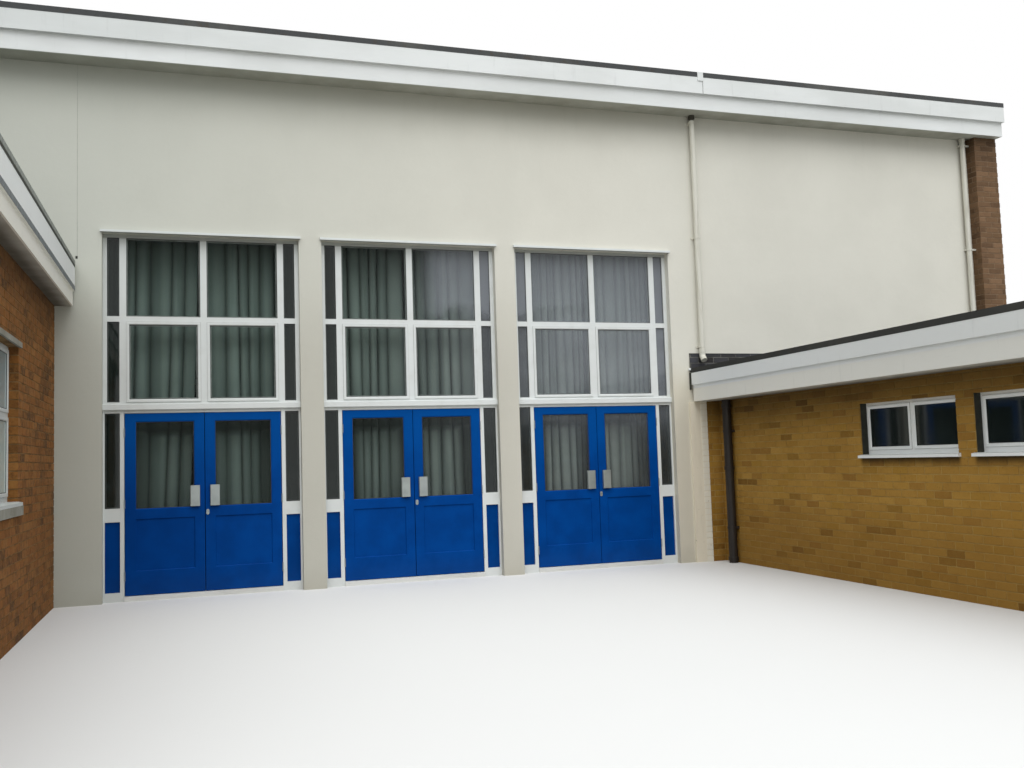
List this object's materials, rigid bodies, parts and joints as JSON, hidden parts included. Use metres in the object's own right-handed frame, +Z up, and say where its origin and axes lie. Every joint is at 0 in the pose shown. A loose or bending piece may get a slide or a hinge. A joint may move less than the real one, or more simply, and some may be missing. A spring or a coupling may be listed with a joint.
{
  "type": "school building",
  "caption": "Flat-roofed school hall with rendered walls, glazed bays with blue double doors, and low brick wings round a court.",
  "frame": {"origin": "centre of the footprint at ground level", "axes": "+X along the hall front to the right as seen from the court, +Y into the hall, +Z up"},
  "size_m": [17.764, 17.149, 6.398],
  "materials": {
    "render": "fine textured masonry paint",
    "brown_brick": "fired brick in lime-grey mortar",
    "yellow_brick": "flecked buff brick in mortar",
    "red_brick": "orange-red brick in mortar",
    "painted_brick": "painted brickwork",
    "concrete": "cast concrete",
    "roof_felt": "mineral felt",
    "flashing": "dressed felt flashing",
    "white_board": "satin cladding board",
    "white_frame": "satin window profile",
    "threshold": "worn sill bar",
    "blue_panel": "satin blue",
    "window_glass": "clear double glazing",
    "door_blue": "satin blue",
    "steel": "satin",
    "curtain_cloth": "pleated grey-green cloth",
    "cream_pipe": "cream rainwater pipe",
    "dark_pipe": "dark brown pipe"
  },
  "bodies": {
    "building": {"floor_slabs": "concrete", "front_wall_left": "render", "front_wall_right": "render", "front_wall_piers": "render", "front_wall_over_bays": "render", "hall_back_wall": "render", "hall_end_walls": "brown_brick", "hall_roof_deck": "roof_felt", "hall_soffits": "white_board", "hall_fascia_lower": "white_board", "hall_fascia_upper": "white_board", "hall_roof_kerb": "roof_felt", "bay_uprights": "white_frame", "bay_rails": "white_frame", "bay_sashes": "white_frame", "bay_side_panels": "blue_panel", "bay_sills": "white_frame", "bay_head_drips": "white_frame", "door_thresholds": "threshold", "frame_hinges": "steel", "window_glass": "window_glass", "curtain_tracks": "white_board", "curtains": "curtain_cloth", "hall_downpipes": "cream_pipe", "court_soil_pipe": "dark_pipe", "court_pilaster": "painted_brick", "right_roof_upstand": "flashing", "right_wing_court_wall": "yellow_brick", "right_wing_outer_walls": "yellow_brick", "left_wing_court_wall": "red_brick", "left_wing_outer_walls": "red_brick", "left_wing_lintels": "concrete", "wing_roof_decks": "roof_felt", "wing_soffits": "white_board", "right_wing_fascia": "white_board", "left_wing_fascia": "white_board", "wing_roof_kerbs": "roof_felt", "wing_window_frames": "white_frame", "wing_window_sills": "white_frame"},
    "door_1_left": {"door_1_left_leaf": "door_blue", "door_1_left_glass": "window_glass", "door_1_left_ironmongery": "steel"},
    "door_1_right": {"door_1_right_leaf": "door_blue", "door_1_right_glass": "window_glass", "door_1_right_ironmongery": "steel"},
    "door_2_left": {"door_2_left_leaf": "door_blue", "door_2_left_glass": "window_glass", "door_2_left_ironmongery": "steel"},
    "door_2_right": {"door_2_right_leaf": "door_blue", "door_2_right_glass": "window_glass", "door_2_right_ironmongery": "steel"},
    "door_3_left": {"door_3_left_leaf": "door_blue", "door_3_left_glass": "window_glass", "door_3_left_ironmongery": "steel"},
    "door_3_right": {"door_3_right_leaf": "door_blue", "door_3_right_glass": "window_glass", "door_3_right_ironmongery": "steel"}
  },
  "joints": [
    {"name": "door_1_left_hinge", "type": "hinge", "parent": "building", "child": "door_1_left", "pos_m": [-3.22475, -0.0805, 1.05], "axis": [0, 0, -1], "range_deg": [0, 90]},
    {"name": "door_1_right_hinge", "type": "hinge", "parent": "building", "child": "door_1_right", "pos_m": [-1.54525, -0.0805, 1.05], "axis": [0, 0, 1], "range_deg": [0, 90]},
    {"name": "door_2_left_hinge", "type": "hinge", "parent": "building", "child": "door_2_left", "pos_m": [-0.83975, -0.0805, 1.05], "axis": [0, 0, -1], "range_deg": [0, 90]},
    {"name": "door_2_right_hinge", "type": "hinge", "parent": "building", "child": "door_2_right", "pos_m": [0.83975, -0.0805, 1.05], "axis": [0, 0, 1], "range_deg": [0, 90]},
    {"name": "door_3_left_hinge", "type": "hinge", "parent": "building", "child": "door_3_left", "pos_m": [1.54525, -0.0805, 1.05], "axis": [0, 0, -1], "range_deg": [0, 90]},
    {"name": "door_3_right_hinge", "type": "hinge", "parent": "building", "child": "door_3_right", "pos_m": [3.22475, -0.0805, 1.05], "axis": [0, 0, 1], "range_deg": [0, 90]}
  ]
}
